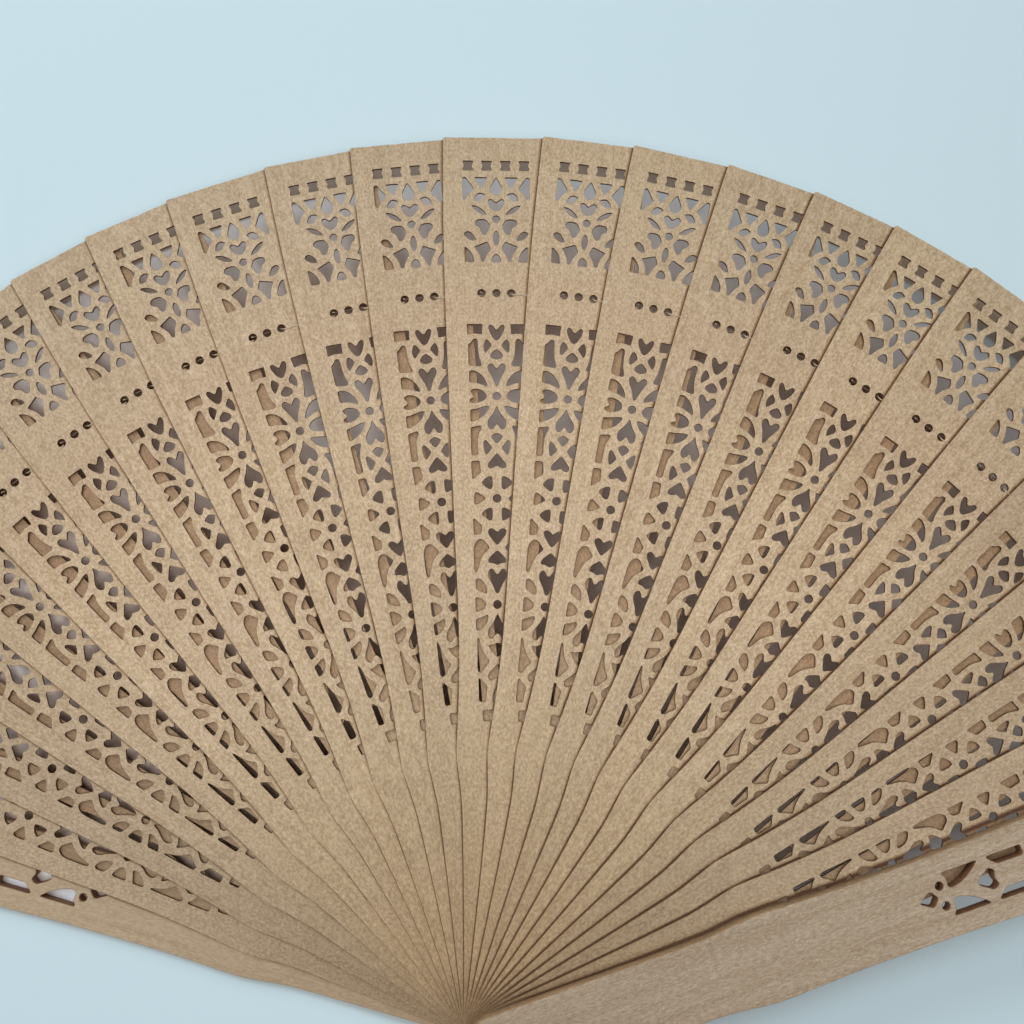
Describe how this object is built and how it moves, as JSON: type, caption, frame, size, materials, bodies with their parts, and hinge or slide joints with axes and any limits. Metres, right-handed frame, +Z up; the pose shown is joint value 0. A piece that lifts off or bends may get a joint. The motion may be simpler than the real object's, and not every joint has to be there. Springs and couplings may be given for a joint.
{
  "type": "folding hand fan",
  "caption": "Pierced wooden folding hand fan of overlapping flat sticks that turn on one rivet and are tied near the rim by a thread, shown open.",
  "frame": {"origin": "on the rivet's axis, at the flat tail face of the rivet, level with the underside of the back guard that the fan lies on", "axes": "+Z up along the rivet, out of the fan's front face; +Y from the rivet up the middle of the open fan; +X to the right, across the open fan"},
  "size_m": [0.3758, 0.2003, 0.0256],
  "materials": {
    "blade_wood": "fine sawn and sanded pale sandalwood, unvarnished",
    "guard_wood": "sanded sandalwood, unvarnished",
    "thread_nylon": "fine nylon thread",
    "rivet_brass": "polished brass"
  },
  "bodies": {
    "back_guard": {"guard_back": "guard_wood", "thread_00": "thread_nylon", "rivet": "rivet_brass", "washer_front": "rivet_brass", "washer_back": "rivet_brass"},
    "stick_01": {"blade_01": "blade_wood", "thread_01": "thread_nylon"},
    "stick_02": {"blade_02": "blade_wood", "thread_02": "thread_nylon"},
    "stick_03": {"blade_03": "blade_wood", "thread_03": "thread_nylon"},
    "stick_04": {"blade_04": "blade_wood", "thread_04": "thread_nylon"},
    "stick_05": {"blade_05": "blade_wood", "thread_05": "thread_nylon"},
    "stick_06": {"blade_06": "blade_wood", "thread_06": "thread_nylon"},
    "stick_07": {"blade_07": "blade_wood", "thread_07": "thread_nylon"},
    "stick_08": {"blade_08": "blade_wood", "thread_08": "thread_nylon"},
    "stick_09": {"blade_09": "blade_wood", "thread_09": "thread_nylon"},
    "stick_10": {"blade_10": "blade_wood", "thread_10": "thread_nylon"},
    "stick_11": {"blade_11": "blade_wood", "thread_11": "thread_nylon"},
    "stick_12": {"blade_12": "blade_wood", "thread_12": "thread_nylon"},
    "stick_13": {"blade_13": "blade_wood", "thread_13": "thread_nylon"},
    "stick_14": {"blade_14": "blade_wood", "thread_14": "thread_nylon"},
    "stick_15": {"blade_15": "blade_wood", "thread_15": "thread_nylon"},
    "stick_16": {"blade_16": "blade_wood", "thread_16": "thread_nylon"},
    "stick_17": {"blade_17": "blade_wood", "thread_17": "thread_nylon"},
    "stick_18": {"blade_18": "blade_wood", "thread_18": "thread_nylon"},
    "stick_19": {"blade_19": "blade_wood", "thread_19": "thread_nylon"},
    "stick_20": {"blade_20": "blade_wood", "thread_20": "thread_nylon"},
    "stick_21": {"blade_21": "blade_wood", "thread_21": "thread_nylon"},
    "stick_22": {"blade_22": "blade_wood", "thread_22": "thread_nylon"},
    "stick_23": {"blade_23": "blade_wood", "thread_23": "thread_nylon"},
    "front_guard": {"guard_front": "guard_wood"}
  },
  "joints": [
    {"name": "fan_fold", "type": "hinge", "parent": "back_guard", "child": "front_guard", "pos_m": [0, 0, 0.0223], "axis": [0, 0, 1], "range_deg": [0, 146.2]},
    {"name": "stick_01_turn", "type": "hinge", "parent": "back_guard", "child": "stick_01", "pos_m": [0, 0, 0.003], "axis": [0, 0, 1], "range_deg": [0, 5.86]},
    {"name": "stick_02_turn", "type": "hinge", "parent": "back_guard", "child": "stick_02", "pos_m": [0, 0, 0.0038], "axis": [0, 0, 1], "range_deg": [0, 11.56]},
    {"name": "stick_03_turn", "type": "hinge", "parent": "back_guard", "child": "stick_03", "pos_m": [0, 0, 0.0046], "axis": [0, 0, 1], "range_deg": [0, 17.99]},
    {"name": "stick_04_turn", "type": "hinge", "parent": "back_guard", "child": "stick_04", "pos_m": [0, 0, 0.0054], "axis": [0, 0, 1], "range_deg": [0, 24.13]},
    {"name": "stick_05_turn", "type": "hinge", "parent": "back_guard", "child": "stick_05", "pos_m": [0, 0, 0.0062], "axis": [0, 0, 1], "range_deg": [0, 30.13]},
    {"name": "stick_06_turn", "type": "hinge", "parent": "back_guard", "child": "stick_06", "pos_m": [0, 0, 0.007], "axis": [0, 0, 1], "range_deg": [0, 36.27]},
    {"name": "stick_07_turn", "type": "hinge", "parent": "back_guard", "child": "stick_07", "pos_m": [0, 0, 0.0078], "axis": [0, 0, 1], "range_deg": [0, 42.41]},
    {"name": "stick_08_turn", "type": "hinge", "parent": "back_guard", "child": "stick_08", "pos_m": [0, 0, 0.0086], "axis": [0, 0, 1], "range_deg": [0, 48.11]},
    {"name": "stick_09_turn", "type": "hinge", "parent": "back_guard", "child": "stick_09", "pos_m": [0, 0, 0.0094], "axis": [0, 0, 1], "range_deg": [0, 54.1]},
    {"name": "stick_10_turn", "type": "hinge", "parent": "back_guard", "child": "stick_10", "pos_m": [0, 0, 0.0102], "axis": [0, 0, 1], "range_deg": [0, 61.12]},
    {"name": "stick_11_turn", "type": "hinge", "parent": "back_guard", "child": "stick_11", "pos_m": [0, 0, 0.011], "axis": [0, 0, 1], "range_deg": [0, 67.12]},
    {"name": "stick_12_turn", "type": "hinge", "parent": "back_guard", "child": "stick_12", "pos_m": [0, 0, 0.0118], "axis": [0, 0, 1], "range_deg": [0, 73.55]},
    {"name": "stick_13_turn", "type": "hinge", "parent": "back_guard", "child": "stick_13", "pos_m": [0, 0, 0.0126], "axis": [0, 0, 1], "range_deg": [0, 80.42]},
    {"name": "stick_14_turn", "type": "hinge", "parent": "back_guard", "child": "stick_14", "pos_m": [0, 0, 0.0134], "axis": [0, 0, 1], "range_deg": [0, 86.71]},
    {"name": "stick_15_turn", "type": "hinge", "parent": "back_guard", "child": "stick_15", "pos_m": [0, 0, 0.0142], "axis": [0, 0, 1], "range_deg": [0, 93.29]},
    {"name": "stick_16_turn", "type": "hinge", "parent": "back_guard", "child": "stick_16", "pos_m": [0, 0, 0.015], "axis": [0, 0, 1], "range_deg": [0, 99.43]},
    {"name": "stick_17_turn", "type": "hinge", "parent": "back_guard", "child": "stick_17", "pos_m": [0, 0, 0.0158], "axis": [0, 0, 1], "range_deg": [0, 105.27]},
    {"name": "stick_18_turn", "type": "hinge", "parent": "back_guard", "child": "stick_18", "pos_m": [0, 0, 0.0166], "axis": [0, 0, 1], "range_deg": [0, 111.12]},
    {"name": "stick_19_turn", "type": "hinge", "parent": "back_guard", "child": "stick_19", "pos_m": [0, 0, 0.0174], "axis": [0, 0, 1], "range_deg": [0, 117.41]},
    {"name": "stick_20_turn", "type": "hinge", "parent": "back_guard", "child": "stick_20", "pos_m": [0, 0, 0.0182], "axis": [0, 0, 1], "range_deg": [0, 123.55]},
    {"name": "stick_21_turn", "type": "hinge", "parent": "back_guard", "child": "stick_21", "pos_m": [0, 0, 0.019], "axis": [0, 0, 1], "range_deg": [0, 129.4]},
    {"name": "stick_22_turn", "type": "hinge", "parent": "back_guard", "child": "stick_22", "pos_m": [0, 0, 0.0198], "axis": [0, 0, 1], "range_deg": [0, 134.95]},
    {"name": "stick_23_turn", "type": "hinge", "parent": "back_guard", "child": "stick_23", "pos_m": [0, 0, 0.0206], "axis": [0, 0, 1], "range_deg": [0, 140.95]}
  ],
  "couplings": [
    {"joint": "stick_01_turn", "follows": "fan_fold", "ratio": 0.04},
    {"joint": "stick_02_turn", "follows": "fan_fold", "ratio": 0.079},
    {"joint": "stick_03_turn", "follows": "fan_fold", "ratio": 0.123},
    {"joint": "stick_04_turn", "follows": "fan_fold", "ratio": 0.165},
    {"joint": "stick_05_turn", "follows": "fan_fold", "ratio": 0.206},
    {"joint": "stick_06_turn", "follows": "fan_fold", "ratio": 0.248},
    {"joint": "stick_07_turn", "follows": "fan_fold", "ratio": 0.29},
    {"joint": "stick_08_turn", "follows": "fan_fold", "ratio": 0.329},
    {"joint": "stick_09_turn", "follows": "fan_fold", "ratio": 0.37},
    {"joint": "stick_10_turn", "follows": "fan_fold", "ratio": 0.418},
    {"joint": "stick_11_turn", "follows": "fan_fold", "ratio": 0.459},
    {"joint": "stick_12_turn", "follows": "fan_fold", "ratio": 0.503},
    {"joint": "stick_13_turn", "follows": "fan_fold", "ratio": 0.55},
    {"joint": "stick_14_turn", "follows": "fan_fold", "ratio": 0.593},
    {"joint": "stick_15_turn", "follows": "fan_fold", "ratio": 0.638},
    {"joint": "stick_16_turn", "follows": "fan_fold", "ratio": 0.68},
    {"joint": "stick_17_turn", "follows": "fan_fold", "ratio": 0.72},
    {"joint": "stick_18_turn", "follows": "fan_fold", "ratio": 0.76},
    {"joint": "stick_19_turn", "follows": "fan_fold", "ratio": 0.803},
    {"joint": "stick_20_turn", "follows": "fan_fold", "ratio": 0.845},
    {"joint": "stick_21_turn", "follows": "fan_fold", "ratio": 0.885},
    {"joint": "stick_22_turn", "follows": "fan_fold", "ratio": 0.923},
    {"joint": "stick_23_turn", "follows": "fan_fold", "ratio": 0.964}
  ]
}
